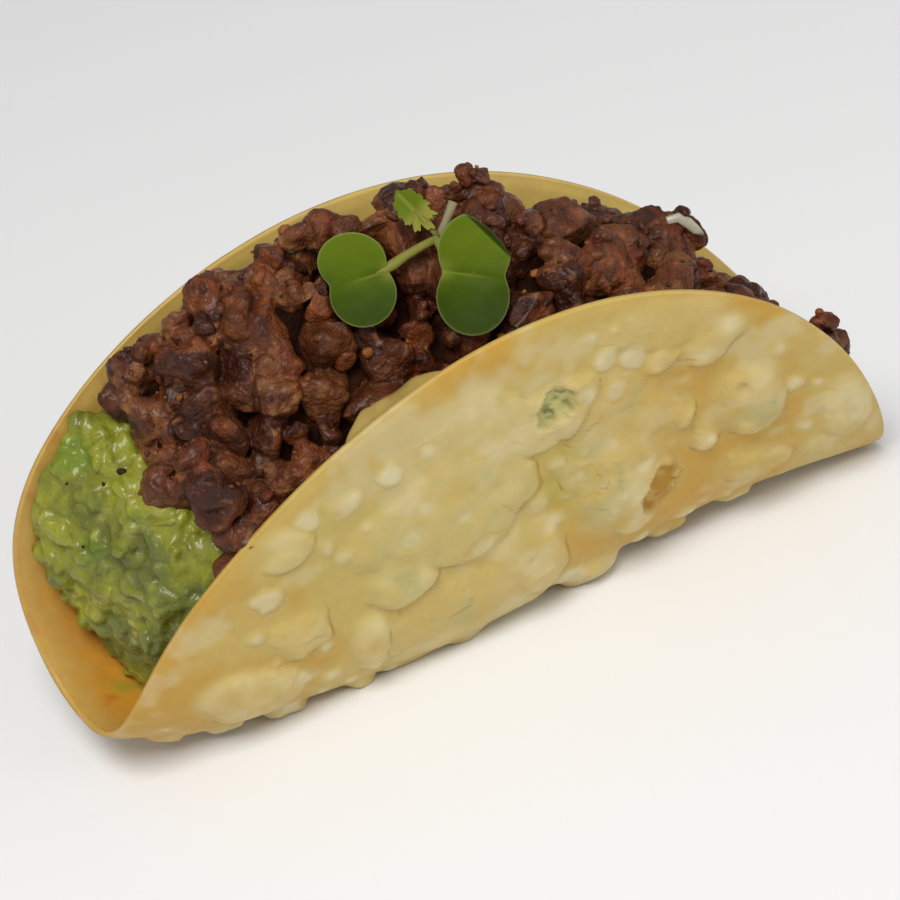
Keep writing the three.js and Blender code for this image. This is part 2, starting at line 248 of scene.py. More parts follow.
def surface_samples(points, faces, count, rng, keep):
    """Random points and normals over the triangles that keep() accepts."""
    tri = points[np.array(faces)]
    cross = np.cross(tri[:, 1] - tri[:, 0], tri[:, 2] - tri[:, 0])
    area = np.linalg.norm(cross, axis=1)
    normal = cross / np.maximum(area, 1e-9)[:, None]
    weight = area * keep(tri.mean(1), normal)
    pick = rng.choice(len(tri), size=count, p=weight / weight.sum())
    u = np.sqrt(rng.random(count))[:, None]
    v = rng.random(count)[:, None]
    place = tri[pick, 0] * (1 - u) + tri[pick, 1] * u * (1 - v) + tri[pick, 2] * u * v
    return place, normal[pick]


# ---- materials

# Darkening tint of the thin painted shadow line along blister edges.
EDGE_SHADOW_TINT = (0.84, 0.7, 0.46, 1)
EDGE_STEP_HEIGHT = 0.14
MOTTLE_SIZE = 1.6
GLOSS_SIZE = 0.9
# Most of a noise texture's output lies between these.
NOISE_LOW, NOISE_HIGH = 0.3, 0.7


def attribute(tree, name):
    node = tree.nodes.new("ShaderNodeAttribute")
    node.attribute_name = name
    return node


def ranged(tree, value, start, end, smoothstep=False):
    """A Map Range of value; start and end are its (from, to) pairs."""
    node = tree.nodes.new("ShaderNodeMapRange")
    if smoothstep:
        node.interpolation_type = "SMOOTHSTEP"
    for which, (source, result) in (("Min", start), ("Max", end)):
        node.inputs["From " + which].default_value = source
        node.inputs["To " + which].default_value = result
    tree.links.new(value, node.inputs["Value"])
    return node.outputs[0]


def noise_texture(tree, place, size, detail):
    """Noise with features of a size in mm."""
    node = tree.nodes.new("ShaderNodeTexNoise")
    node.inputs["Scale"].default_value = 1 / (size * MM)
    node.inputs["Detail"].default_value = detail
    tree.links.new(place, node.inputs["Vector"])
    return node.outputs["Fac"]


def bumped(tree, surface, height, below, invert=False):
    """The normal below, if any, with relief of a height in mm over it."""
    node = tree.nodes.new("ShaderNodeBump")
    node.inputs["Distance"].default_value = height * MM
    node.invert = invert
    tree.links.new(surface, node.inputs["Height"])
    if below:
        tree.links.new(below, node.inputs["Normal"])
    return node.outputs[0]


def maths(tree, operation, *values):
    node = tree.nodes.new("ShaderNodeMath")
    node.operation = operation
    for value, socket in zip(values, node.inputs):
        tree.links.new(value, socket)
    return node.outputs[0]


def blister_edges(tree, colour):
    """The step at a blister's edge, and the colour with a thin painted shadow line there."""
    link = tree.links.new
    edge = attribute(tree, "blister_mm").outputs["Fac"]
    crisp = attribute(tree, "blister_crisp").outputs["Fac"]
    step = ranged(tree, edge, (-0.14, 0), (0.3, 1), smoothstep=True)
    rise = maths(tree, "MULTIPLY", step, crisp)
    away = maths(tree, "ABSOLUTE", edge)
    strength = ranged(tree, crisp, (0.35, 0), (1, 0.6))
    line = ranged(tree, away, (0, 1), (0.26, 0), smoothstep=True)
    link(strength, line.node.inputs["To Min"])
    # Painted shadow: a thin darker line along the blister's edge, strongest where the edge is
    # crisp.
    edge_shadow = tree.nodes.new("ShaderNodeMix")
    edge_shadow.data_type = "RGBA"
    edge_shadow.blend_type = "MULTIPLY"
    link(line, edge_shadow.inputs[0])
    link(colour, edge_shadow.inputs[6])
    edge_shadow.inputs[7].default_value = EDGE_SHADOW_TINT
    return rise, edge_shadow.outputs[2]


def material(name, roughness, bumps, variation=0, subsurface=0, radius=(1, 0.5, 0.25),
             scatter=1, coat=0, coat_roughness=0.2, gloss_spread=0, specular=0.5,
             outlines=False):
    """The mesh's own colours, mottled, with uneven gloss and bumps of (pattern, size, height) in
    mm. scatter is in mm too. outlines marks where the mesh's "blister_mm" passes nought."""
    made = bpy.data.materials.new(name)
    made.use_nodes = True
    tree = made.node_tree
    new, link = tree.nodes.new, tree.links.new
    shader = tree.nodes["Principled BSDF"]
    place = new("ShaderNodeTexCoord").outputs["Object"]

    mottle = noise_texture(tree, place, MOTTLE_SIZE, 5)
    levels = ranged(tree, mottle, (NOISE_LOW, 1 - variation), (NOISE_HIGH, 1 + variation))
    scale = new("ShaderNodeVectorMath")
    scale.operation = "SCALE"
    link(attribute(tree, "tint").outputs["Color"], scale.inputs[0])
    link(levels, scale.inputs["Scale"])
    colour = scale.outputs[0]
    normal = None
    if outlines:
        step, colour = blister_edges(tree, colour)
        normal = bumped(tree, step, EDGE_STEP_HEIGHT, None)
    link(colour, shader.inputs["Base Color"])

    sheen = noise_texture(tree, place, GLOSS_SIZE, 3)
    glossy, dull = max(0.05, roughness - gloss_spread), min(1.0, roughness + gloss_spread)
    gloss = ranged(tree, sheen, (NOISE_LOW, glossy), (NOISE_HIGH, dull))
    link(gloss, shader.inputs["Roughness"])

    for pattern, size, height in bumps:
        if pattern == "cells":
            texture = new("ShaderNodeTexVoronoi")
            texture.inputs["Scale"].default_value = 1 / (size * MM)
            link(place, texture.inputs["Vector"])
            surface = texture.outputs["Distance"]
        else:
            surface = noise_texture(tree, place, size, 4)
        normal = bumped(tree, surface, height, normal, invert=pattern == "cells")
    link(normal, shader.inputs["Normal"])

    for socket, value in (
            ("Specular IOR Level", specular), ("Subsurface Weight", subsurface),
            ("Subsurface Radius", radius), ("Subsurface Scale", scatter * MM),
            ("Coat Weight", coat), ("Coat Roughness", coat_roughness)):
        shader.inputs[socket].default_value = value
    return made


DOUGH = material(
    "fried_dough", 0.42, [("noise", 2.2, 0.07), ("noise", 0.5, 0.025)], variation=0.04,
    subsurface=0.25, radius=(1.0, 0.75, 0.35), gloss_spread=0.1, specular=0.25, outlines=True)
MASH = material(
    "mashed_avocado", 0.46, [("noise", 1.0, 0.14), ("cells", 0.55, 0.07), ("noise", 0.25, 0.04)],
    variation=0.14, subsurface=0.25, radius=(0.9, 1.0, 0.3), scatter=0.9, coat=0.35,
    coat_roughness=0.1, gloss_spread=0.26, specular=0.25)
MEAT = material(
    "browned_mince", 0.42, [("noise", 0.9, 0.22), ("cells", 0.42, 0.13), ("noise", 0.2, 0.08)],
    variation=0.26, coat=0.12, coat_roughness=0.16, gloss_spread=0.22, specular=0.2)
CORE = material(
    "browned_mince_core", 0.75, [("noise", 1.0, 0.3), ("cells", 0.5, 0.15)], variation=0.3,
    gloss_spread=0.1, specular=0.05)
LEAF = material(
    "cress_leaf", 0.5, [("noise", 0.9, 0.02), ("cells", 0.25, 0.006)], variation=0.05,
    subsurface=0.05, radius=(0.4, 1.0, 0.2), scatter=0.4, gloss_spread=0.06, specular=0.05)
ONION = material("onion_shred", 0.3, [("noise", 0.6, 0.03)], variation=0.05, subsurface=0.4,
                 radius=(1, 1, 0.9), scatter=0.8)
PEPPER = material("pepper", 0.7, [("noise", 0.2, 0.05)], variation=0.3, specular=0.2)


# ---- the folded dough

def dough_middle(end, arc):
    """The middle of the dough's thickness, end (-1..1) along the fold and arc mm round it."""
    side = np.where(arc < 0, -1.0, 1.0)
    radius = np.where(side < 0, *FOLD_RADIUS) + RADIUS_TAPER * end
    angle = WALL_ANGLE[0] + WALL_ANGLE[1] * end + WALL_ANGLE[2] * end**2 + side * WALL_ANGLE[3]
    curl = np.where(side < 0, *WALL_CURL)
    steps = 56
    step = np.abs(arc) / steps
    run, rise = np.zeros((2, len(arc)))
    for i in range(steps):
        at = (i + 0.5) * step
        bend = np.tanh((at / (radius * angle)) ** FOLD_SHARPNESS)
        turn = angle * bend ** (1 / FOLD_SHARPNESS) + curl * at / CURL_LENGTH
        run += np.cos(turn) * step
        rise += np.sin(turn) * step
    twist = END_TWIST * end**2
    y = side * run
    z = rise - TWIST_HEIGHT
    drift = FOLD_DRIFT[0] * end + FOLD_DRIFT[1] * end**2
    lift = FOLD_RISE[0] * end + FOLD_RISE[1] * end**2 + FOLD_RISE[2] * (end**3 - end)
    return np.stack([
        end * HALF_LENGTH,
        y * np.cos(twist) - z * np.sin(twist) + drift - CENTRE_Y,
        y * np.sin(twist) + z * np.cos(twist) + TWIST_HEIGHT + lift + BASE_LIFT,
    ], 1)


def dough_inward(end, arc):
    """Unit normals of the dough that point to its inside."""
    small = 0.01
    along = dough_middle(end + small, arc) - dough_middle(end - small, arc)
    across = dough_middle(end, arc + small) - dough_middle(end, arc - small)
    normal = np.cross(along, across)
    return normal / np.linalg.norm(normal, axis=1)[:, None]


def arc_of(end, across):
    """Arc of a point of the round of dough; the fold lies slanting across it."""
    return across * HALF_WIDTH + FOLD_OFFSET[0] + FOLD_OFFSET[1] * end


# Large blisters, each laid over those before it: x, arc, half length, half height, rise, turn,
# outline roughness, paleness. Arcs below nought are on the lower wall.
PLATES = [
    (14, -26, 7, 5.5, 0.4, 0.2, 1.2, 0.55), (-4, -9, 10.5, 7.5, 0.6, 0.1, 0.8, 0.3),
    (1, -32, 9, 6, 0.5, 0.15, 1.3, 0.7), (-5, -24.5, 10, 7.5, 0.8, 0.35, 1.1, 0.55),
    (-11, -18.5, 4.2, 3.4, 0.9, 0.3, 0.5, 0.9), (-15, -12, 3.4, 4.6, 0.8, 0.2, 0.8, 0.95),
    (3.5, -13, 4, 7, 0.8, -0.3, 0.9, 0.5), (14, -16.5, 6.4, 7.6, 1.2, -0.1, 0.7, 0.9),
    (10.5, -2.5, 4.4, 4.2, 1.7, 0.2, 0.7, 0.75), (20, -36, 8, 3.4, 0.5, 0.1, 1, 0.4),
    (26, -31.5, 4.2, 3.6, 0.7, 0.2, 0.9, 0.95), (20, -31.5, 2.6, 2.4, 0.6, 0, 0.6, 0.9),
    (28.5, -21.5, 4.3, 5.2, 1.4, -0.3, 0.4, 0.45), (23.5, -18.8, 2.1, 2.4, 0.9, 0, 0.4, 0.85),
    (21, -22.5, 1.9, 2.3, 0.8, 0, 0.3, 0.8), (28.5, -11.5, 4.8, 2.9, 0.8, 0.1, 0.6, 0.9),
    (39, -15.5, 3.5, 5.2, 0.9, 0.1, 0.4, 1), (8.5, -31, 3.6, 4.2, 0.8, -0.3, 0.9, 0.5),
    (8.5, -22, 3.2, 3.4, 0.5, 0.2, 1.2, 0.35), (-21, -29, 3.6, 3.2, 0.6, 0.2, 0.8, 0.8),
    (-28, -11, 5.6, 5, 0.8, 0.1, 0.6, 0.9), (-21.5, -17.5, 4.2, 3.8, 0.6, 0.3, 1, 0.8),
    (-34, -3, 4.6, 3, 0.5, 0, 0.8, 0.6), (-10, -2, 5.5, 3.6, 0.7, 0.1, 0.8, 0.5),
    (1, -2, 3.6, 3, 0.7, 0, 0.6, 0.6), (-37, -4, 2.4, 2.2, 0.9, 0.1, 0.4, 0.7),
    (-30.5, -4.5, 2.2, 2, 0.8, 0, 0.4, 0.9), (-24.5, -4, 2.8, 2.4, 1.1, 0.2, 0.5, 0.8),
    (-16.5, -4.2, 2.2, 2.2, 0.9, 0, 0.4, 0.95), (-4.5, -4, 3, 2.4, 1, -0.1, 0.5, 0.7),
    (19, -4, 2.6, 2.2, 1, 0.1, 0.4, 0.9), (27, -4.2, 3.2, 2.2, 0.8, 0, 0.5, 0.8),
    (-22, 14, 7, 6, 0.8, 0.2, 1, 0.6), (-6, 20, 8, 7, 0.9, -0.2, 1.1, 0.7),
    (-11, 13.5, 3.4, 3, 0.8, 0, 0.6, 0.9), (9, 31, 7.5, 6.5, 0.8, 0.3, 1, 0.5),
    (3, 35.5, 3.2, 2.6, 0.7, 0.1, 0.6, 0.9), (11, 13, 6, 5, 0.9, 0.1, 0.8, 0.8),
    (5, 9, 3.6, 3.2, 0.8, 0.1, 0.6, 0.7), (25, 21, 6.5, 5.5, 0.8, -0.3, 0.9, 0.6),
    (18.5, 24, 2.8, 3.2, 0.8, 0.1, 0.5, 0.95), (-16, 34, 7.5, 5, 0.7, 0.2, 1, 0.5),
    (-24, 27, 4, 3.6, 0.7, 0.3, 0.7, 0.9), (-34, 21, 4.5, 6, 0.6, 0, 0.8, 0.8),
    (-30, 10, 3, 3.4, 0.7, 0, 0.6, 0.7), (31, 7, 4, 4.5, 0.8, 0.2, 0.8, 0.7),
    (23, 11, 3.2, 2.8, 0.7, 0.2, 0.6, 0.9),
]
# Round bubbles seen on the lower wall: x, arc, radius.
ROUNDS = [
    (-14, -32, 1.6), (-9, -33, 1.5), (-18, -32, 1.5), (-5, -33.5, 1), (-24, -23.5, 1.7),
    (-19.5, -14.5, 1), (-22.5, -11, 1.3), (-19.5, -9.5, 1.2), (-15.5, -25.5, 1.2), (7.5, -6, 1.9),
    (3, -4.5, 1.2), (17, -33, 1.5), (13, -38, 0.9), (15.5, -38, 0.8), (16.5, -18.5, 1.3),
    (11.5, -31.5, 1.4), (14, -34.5, 1.6), (34.5, -14, 1), (14.5, -30, 1.2), (-17, -27.5, 1.3),
    (-12.5, -28, 1), (-6.5, -27, 1.3), (-8.5, -24, 1.4), (-3, -24, 1), (7.5, -24, 1),
    (9.5, -21, 1.1), (8, -19, 0.9), (10.5, -24, 0.8), (33.5, -21, 1.2), (32, -27, 1.1),
    (-26, -19, 1.1), (-20.5, -6.5, 0.9), (-17.5, -7, 1), (-13, -5, 1.2), (-24, -5, 1.1),
    (16, -5.5, 1.4), (21, -6.5, 1.2), (26, -6.5, 1.3), (-5, 0, 1.3), (5.5, 0.5, 1.2),
    (-17, 0, 1.3), (-28, -2, 1.2),
]
SMALL_ROUNDS = 90
# Broken blisters: x, arc, half length, half height, turn.
HOLES = [(8.3, -31.8, 1.5, 2.8, 0.7), (17.6, -13.6, 2.1, 3.1, 0.5)]


def oval(x, arc, centre_x, centre_arc, half_x, half_arc, turn):
    """Distance from the middle of an oval, 1 on its outline."""
    c, s = math.cos(turn), math.sin(turn)
    dx = x - centre_x
    da = arc - centre_arc
    return np.hypot((c * dx + s * da) / half_x, (-s * dx + c * da) / half_arc)


def blister_relief(flat):
    """The outside's height, paleness, distance inside the nearest visible outline (mm), how crisp
    that outline is, and holes."""
    x, arc, _ = flat.T
    wander = np.array([fractal(flat, 6, 2, 11), fractal(flat, 6, 2, 23)])
    ragged = np.array([fractal(flat, 1.6, 2, 12), fractal(flat, 1.6, 2, 24)])
    patchy = fractal(flat, 5, 2, 29)
    height, pale, crisp, hole = np.zeros((4, len(x)))
    edge = np.full(len(x), -9.0)

    def cover(near, inside, profile, rise, tone, sharp, fade):
        """Lays one blister over what is there already; its soft side fades in over fade mm."""
        step = smooth(0, 0.4 + fade * (1 - sharp), inside)
        dome = rise * (profile * (0.75 + 0.25 * (1 - sharp)) + 0.25 * sharp)
        height[near] = height[near] * (1 - 0.5 * step) + dome * step
        pale[near] = pale[near] * (1 - step) + tone * step
        nearest = (inside > 0) | (-inside < np.abs(edge[near]))
        older = np.copysign(np.minimum(np.abs(edge[near]), -inside), edge[near])
        edge[near] = np.where(inside > 0, inside, older)
        crisp[near] = np.where(nearest, sharp, crisp[near])

    for px, parc, half_x, half_arc, rise, turn, rough, tone in PLATES:
        wx, wa = (x, arc) + rough * (1.5 * wander + 0.15 * ragged)
        d = oval(wx, wa, px, parc, half_x, half_arc, turn)
        along, down = (wx - px) / half_x, -math.copysign(1, parc) * (wa - parc) / half_arc
        downhill = (0.5 * along + 0.86 * down) / np.maximum(d, 0.3)
        sharp = 0.1 + 0.9 * smooth(-0.1, 0.85, downhill + 0.6 * patchy)
        inside = (1 - d) * min(half_x, half_arc)
        tones = tone * (0.7 + 0.3 * smooth(0.9, 0.3, d))
        # A low dome where the edge fades, a pillow where it is crisp.
        low, pillow = np.clip(1 - d**2, 0, 1), np.clip(1 - d**4, 0, 1) ** 0.6
        profile = low * (1 - sharp) + pillow * sharp
        cover(slice(None), inside, profile, rise, tones, sharp, 1.6)
    rng = np.random.default_rng(5)
    rounds = [(px, parc, 1.15 * r, 1.0) for px, parc, r in ROUNDS]
    for _ in range(SMALL_ROUNDS):
        px = rng.uniform(-43, 43)
        end = px / HALF_LENGTH
        reach = math.sqrt(max(0.0, 1 - end * end))
        parc = arc_of(end, rng.uniform(-reach, reach) * 0.95)
        rounds.append((px, parc, 0.8 + 1.3 * rng.random() ** 2, rng.uniform(0.2, 0.9)))
    for px, parc, r, tone in rounds:
        near = np.flatnonzero((np.abs(x - px) < r * 2) & (np.abs(arc - parc) < r * 2))
        shift = 0.2 * r * ragged[:, near]
        d = oval(x[near] + shift[0], arc[near] + shift[1], px, parc, r, r, 0)
        sharp = 0.1 + 0.4 * smooth(-0.2, 0.7, patchy[near])
        profile = np.clip(1 - d**2.5, 0, 1) ** 0.8
        rise = 0.2 * min(r, 1.5) * tone
        cover(near, (1 - d) * r, profile, rise, 0.65 + 0.55 * tone, sharp, 0.8)
    for px, parc, half_x, half_arc, turn in HOLES:
        d = oval(*(x, arc) + 0.5 * ragged, px, parc, half_x, half_arc, turn)
        inside = smooth(1.08, 0.85, d)
        height = height * (1 - 0.8 * inside) - 0.2 * inside
        hole = np.maximum(hole, inside)
        gap = (d - 1) * min(half_x, half_arc)
        nearest = (gap < 0) | (gap < np.abs(edge))
        edge = np.where(nearest, gap, edge)
        crisp = np.where(nearest, 0.6, crisp)
    return height, pale, edge, crisp, hole


# The large blister on the inside, by the rim: x, arc, half length to the left and right, half
# height; and how far it swells in.
INNER_BLISTER = (-9, -38.0, 3.7, 10.0, 3.8)
INNER_BLISTER_PUFF = 2.1


def inner_bulge(x, arc):
    """How far the inner blister swells in."""
    bx, barc, left, right, half_arc = INNER_BLISTER
    along = (x - bx) / np.where(x < bx, left, right)
    inside = np.clip(1 - np.abs(along) ** 2.4 - np.abs((arc - barc) / half_arc) ** 2.4, 0, 1)
    return INNER_BLISTER_PUFF * inside**0.55


def inner_points(end, arc, middle, inward, depth):
    """Points on the inside of the dough, with the inner blister puffed in and up."""
    rim = np.hypot(end, (arc - FOLD_OFFSET[0] - FOLD_OFFSET[1] * end) / HALF_WIDTH)
    puff = inner_bulge(end * HALF_LENGTH, arc) * smooth(1, 0.95, rim)
    puff = puff * (1 + 0.16 * fractal(middle, 3.2, 3, 73))
    lifted = middle + inward * (depth + puff * 0.85)[:, None]
    lifted[:, 2] += puff * 0.62
    return lifted


CREAM = rgb(190, 167, 97)
BUTTER = rgb(189, 159, 82)
GOLD = rgb(188, 147, 60)
# Greenish stains on the outside: x, arc, half length, half height, strength.
GREEN_STAINS = [(8.5, -22, 3.6, 4.5, 1), (-16, -24, 6, 7, 0.6), (-4, -22, 5, 5, 0.4)]
# A smear of avocado on the inside, by the open end.
SMEAR = (-38.3, 3.4, 1.5, 0.9)


def spread(x, arc, px, parc, half_x, half_arc):
    """A soft spot, 1 in its middle."""
    return np.exp(-(((x - px) / half_x) ** 2) - ((arc - parc) / half_arc) ** 2)


def outside_colours(flat, wide, fine, band, pale, edge, hole):
    x, arc, _ = flat.T
    colour = mix(CREAM, BUTTER, smooth(-0.5, 0.7, wide + 0.3 * fine))
    low_left = smooth(-14, -40, x) * smooth(-26, 0, arc)
    fold = np.exp(-((arc / 9.0) ** 2)) * smooth(0.1, 0.7, 0.5 + wide)
    golden_end = smooth(17, 24, x) * smooth(-26, -12, arc) * smooth(34, 28, x)
    valley = smooth(0.3, -1, edge) * smooth(-0.3, 0.6, wide + 1.1 * golden_end)
    golden = 0.8 * valley + 0.45 * fold + 0.45 * low_left + 0.3 * band
    cloud = smooth(0.05, 0.7, fractal(flat, 4.2, 3, 57)) * smooth(0.9, 0.6, pale)
    window = smooth(0.2, 0.7, fractal(flat, 5, 3, 53)) * smooth(0.3, 1.8, edge)
    green = sum(share * spread(x, arc, *place) for *place, share in GREEN_STAINS)
    colour = coated(
        mix(colour, GOLD, np.clip(golden, 0, 0.95)),
        (208, 195, 148, np.clip(pale * (0.48 + 0.45 * fine), 0, 1)),
        (206, 192, 156, smooth(0.9, 1.2, pale) * 0.45),
        (204, 192, 152, cloud * 0.4),
        (170, 162, 104, window * 0.55),
        (164, 154, 66, np.clip(green * (0.5 + 0.5 * fine), 0, 0.75)))
    grey_hole = smooth(-20, -28, arc)
    flakes = smooth(0.1, 0.6, fractal(flat, 1.2, 2, 59))
    bare = mix(rgb(168, 124, 34), rgb(188, 152, 66), flakes)
    net = smooth(0.25, 0.6, np.abs(fractal(flat, 1.1, 3, 43))) * grey_hole
    bare = mix(bare, mix(rgb(182, 174, 110), rgb(118, 116, 66), net), grey_hole)
    return mix(colour, bare, hole)


def inside_colours(flat, wide, fine, band):
    x, arc, _ = flat.T
    warm = smooth(10, -38, x) * 0.8 + 0.25 * np.exp(-((arc / 12.0) ** 2))
    colour = 1.14 * mix(BUTTER, rgb(194, 146, 50), np.clip(warm + 0.25 * wide, 0, 1))
    toasted = np.clip(smooth(-26, -40, x) * 0.45 + 0.15 * fine, 0, 0.7)
    stain = smooth(-0.2, 0.6, fractal(flat, 5, 2, 49)) * smooth(-26, -37, x)
    spot = smooth(0.55, 0.75, fractal(flat, 2.2, 2, 47)) * smooth(-20, -34, x)
    smear = spread(x, arc, *SMEAR) * smooth(-0.7, 0.1, fine)
    colour = coated(colour, (184, 116, 26, toasted),
                    (188, 116, 32, stain * smooth(26, 8, np.abs(arc - 6)) * 0.5),
                    (186, 92, 26, spot * 0.6), (150, 138, 42, smear * 0.9))
    flap = np.clip(inner_bulge(x, arc) / INNER_BLISTER_PUFF, 0, 1)
    # The inner blister is coloured darker brown: partly its own browning, partly painted shade.
    flap_browning_and_shade = mix(rgb(124, 94, 38), rgb(156, 128, 66), smooth(-0.4, 0.5, fine))
    return mix(mix(colour, flap_browning_and_shade, flap), CREAM, band * 0.5)


def round_sheet(count):
    """A round of count by count cells: its points' end and across (-1..1), and their numbers."""
    a, b = np.meshgrid(*[np.linspace(-1, 1, count + 1)] * 2, indexing="ij")
    a, b = a.ravel(), b.ravel()
    end = a * np.sqrt(1 - b * b / 2)
    across = b * np.sqrt(1 - a * a / 2)
    return end, across, np.arange((count + 1) ** 2).reshape(count + 1, count + 1)


def make_shell():
    end, across, grid = round_sheet(DOUGH_CELLS)
    count = grid.size
    arc = arc_of(end, across)
    rim = np.sqrt(end**2 + across**2)
    middle = dough_middle(end, arc)
    inward = dough_inward(end, arc)
    edge = rim**12
    half = SKIN / 2 * (1 - RIM_THINNING * edge) * (1 - 0.45 * smooth(0.97, 1, rim))
    flat = np.stack([end * HALF_LENGTH, arc, np.zeros(count)], 1)
    sway = 0.22 * fractal(flat, 11, 2, 3) * (1 - edge * 0.5)
    height, pale, outline, crisp, hole = blister_relief(flat)
    out = middle - inward * (half + height * (1 - edge) - sway)[:, None]
    out[:, 2] = np.maximum(out[:, 2], 0)
    inner_relief = 0.12 * fractal(flat, 4, 3, 41) * (1 - edge)
    inner = inner_points(end, arc, middle, inward, half + inner_relief + sway)

    quads = np.stack([grid[:-1, :-1], grid[:-1, 1:], grid[1:, 1:], grid[1:, :-1]], -1)
    quads = quads.reshape(-1, 4)
    loop = np.concatenate([grid[0, :-1], grid[:-1, -1], grid[-1, :0:-1], grid[:0:-1, 0]])
    after = np.roll(loop, -1)
    side = np.stack([loop, loop + count, after + count, after], -1)
    faces = np.concatenate([quads, quads[:, ::-1] + count, side])

    tones = flat + (0, 0, 3)
    wide = fractal(tones, 14, 3, 31)
    fine = fractal(tones, 3, 3, 37)
    band = smooth(0.9, 0.985, rim + 0.03 * fine)
    colours = np.concatenate([outside_colours(tones, wide, fine, band, pale, outline, hole),
                              inside_colours(tones, wide, fine, band)])
    layers = {"blister_mm": np.concatenate([outline, np.full(count, -9.0)]),
              "blister_crisp": np.concatenate([crisp * (1 - edge), np.zeros(count)])}
    points = np.concatenate([out, inner])
    shell = add_mesh("dough", points, faces.tolist(), DOUGH, colours, layers)
    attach(shell, "root")
    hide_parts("shell")


def inner_sheet():
    """The inside of the dough as a search tree, with which of its faces lie along the rim."""
    count = 72
    end, across, grid = round_sheet(count)
    arc = arc_of(end, across)
    points = inner_points(end, arc, dough_middle(end, arc), dough_inward(end, arc), SKIN / 2)
    quads = np.stack([grid[:-1, :-1], grid[1:, :-1], grid[1:, 1:], grid[:-1, 1:]], -1)
    edge = np.pad(np.zeros((count - 2, count - 2), bool), 1, constant_values=True)
    tree = BVHTree.FromPolygons(points.tolist(), quads.reshape(-1, 4).tolist())
    return tree, edge.ravel()


INNER_SHEET = inner_sheet()


# Points further than this from the dough stay where they are.
DOUGH_REACH = 4.0


def inside_dough(points, gap):
    """Moves points that lie in or beyond the dough back to its inside."""
    tree, edge = INNER_SHEET
    moved = np.array(points)
    for i, p in enumerate(points):
        place, normal, face, _ = tree.find_nearest(Vector(p), DOUGH_REACH)
        if place is None or edge[face]:
            continue
        depth = (Vector(p) - place).dot(normal)
        if depth < gap:
            moved[i] = np.array(place + normal * gap)
    return moved


# ---- the avocado

def make_avocado():
    rng = np.random.default_rng(21)
    points, _, faces = cad_mesh("avocado")

    def visible(centre, normal):
        open_side = (normal[:, 2] > 0.1) | (normal[:, 0] < -0.25)
        return open_side * (centre[:, 0] < -22)

    place, normal = surface_samples(points, faces, 260, rng, visible)
    unit, unit_faces = ball(2)
    pieces = [(points, faces)]
    for p, n in zip(place, normal):
        r = 0.6 + 1.9 * rng.random() ** 2
        lump = unit * (r * rng.uniform(0.7, 1.1, 3))
        lump = lump @ random_turn(rng).T
        pieces.append((lump + p - n * r * 0.35, unit_faces))
    skin, normals, faces = fused(pieces, AVOCADO_VOXEL, relax=2)
    near, _ = cells(skin, 1.7, 5)
    grain, _ = cells(skin, 0.9, 9)
    clod, clod_next = cells(skin, 3.4, 19)
    ridge = np.exp(-(((clod_next - clod) / 0.12) ** 2))
    relief = 0.34 * (0.6 - near) + 0.16 * (0.6 - grain)
    relief += 0.3 * fractal(skin, 3, 3, 7) - 0.3 * ridge
    shown = smooth(-21, -25, skin[:, 0]) * smooth(0, 0.3, normals[:, 2] - normals[:, 0])
    skin = inside_dough(skin + normals * (relief * (0.15 + 0.85 * shown))[:, None], 0.15)
    blotch = fractal(skin, 6, 3, 13)
    lumps = smooth(0.55, 0.1, near)
    colour = mix(rgb(106, 112, 34), rgb(142, 142, 40), smooth(-0.5, 0.6, blotch))
    light = lumps * smooth(-0.1, 0.6, fractal(skin, 2.6, 2, 17))
    colour = coated(colour, (98, 102, 48, smooth(0, 0.7, -blotch) * 0.6),
                    (174, 170, 86, light * 0.75),
                    (94, 124, 26, smooth(0.4, 0.9, fractal(skin, 4, 2, 18)) * 0.6))
    # Painted shade darkens the grooves between clods; painted light brightens the mash towards the
    # bottom.
    colour = colour * ((1 - 0.18 * ridge) * (1 + 0.22 * smooth(24, 8, skin[:, 2])))[:, None]
    avocado = add_mesh("avocado_mash", skin, faces, MASH, colour)
    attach(avocado, "root")
    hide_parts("avocado")
    return avocado


# ---- the mince

def left_side(centre, normal):
    """The steep left end of the heap, above the avocado."""
    facing = (normal[:, 0] < -0.25) | (normal[:, 1] < -0.3)
    return facing & (centre[:, 0] < -15) & (centre[:, 2] > 12) & (normal[:, 2] > -0.4)


def heap_side(centre, normal):
    """The heap's open top and both its ends."""
    return (normal[:, 2] > 0.2) | left_side(centre, normal) | (normal[:, 0] > 0.6)


def clear_of_dough(point):
    """How far a point is inside the lower wall; negative in or beyond it."""
    place, normal, _, _ = INNER_SHEET[0].find_nearest(Vector(point), 30.0)
    return (Vector(point) - place).dot(normal) if place is not None and place.y < 0 else 99.0


def packed_centres(points, faces, rng):
    """Crumbs over the heap, as point, normal and radius: large first, small between them."""
    chosen = []
    rounds = ((2.6, 90, 0.85, left_side), (1.8, 160, 0.85, left_side), (3.6, 160, 0.95, heap_side),
              (2.8, 400, 0.9, heap_side), (2.1, 700, 0.9, heap_side), (1.4, 500, 0.85, heap_side))
    for radius, tries, spacing, side in rounds:
        place, normal = surface_samples(points, faces, tries, rng, side)
        for p, n in zip(place, normal):
            r = radius * rng.uniform(0.8, 1.15) * (0.7 if p[0] > 27 else 1.0)
            if -17 < p[0] < 7 and clear_of_dough(p - n * 0.7 * r) < 0.6 * r:
                continue
            if all(np.linalg.norm(p - q) > spacing * (r + s) * 0.78 for q, _, s in chosen):
                chosen.append((p, n, r))
    return chosen


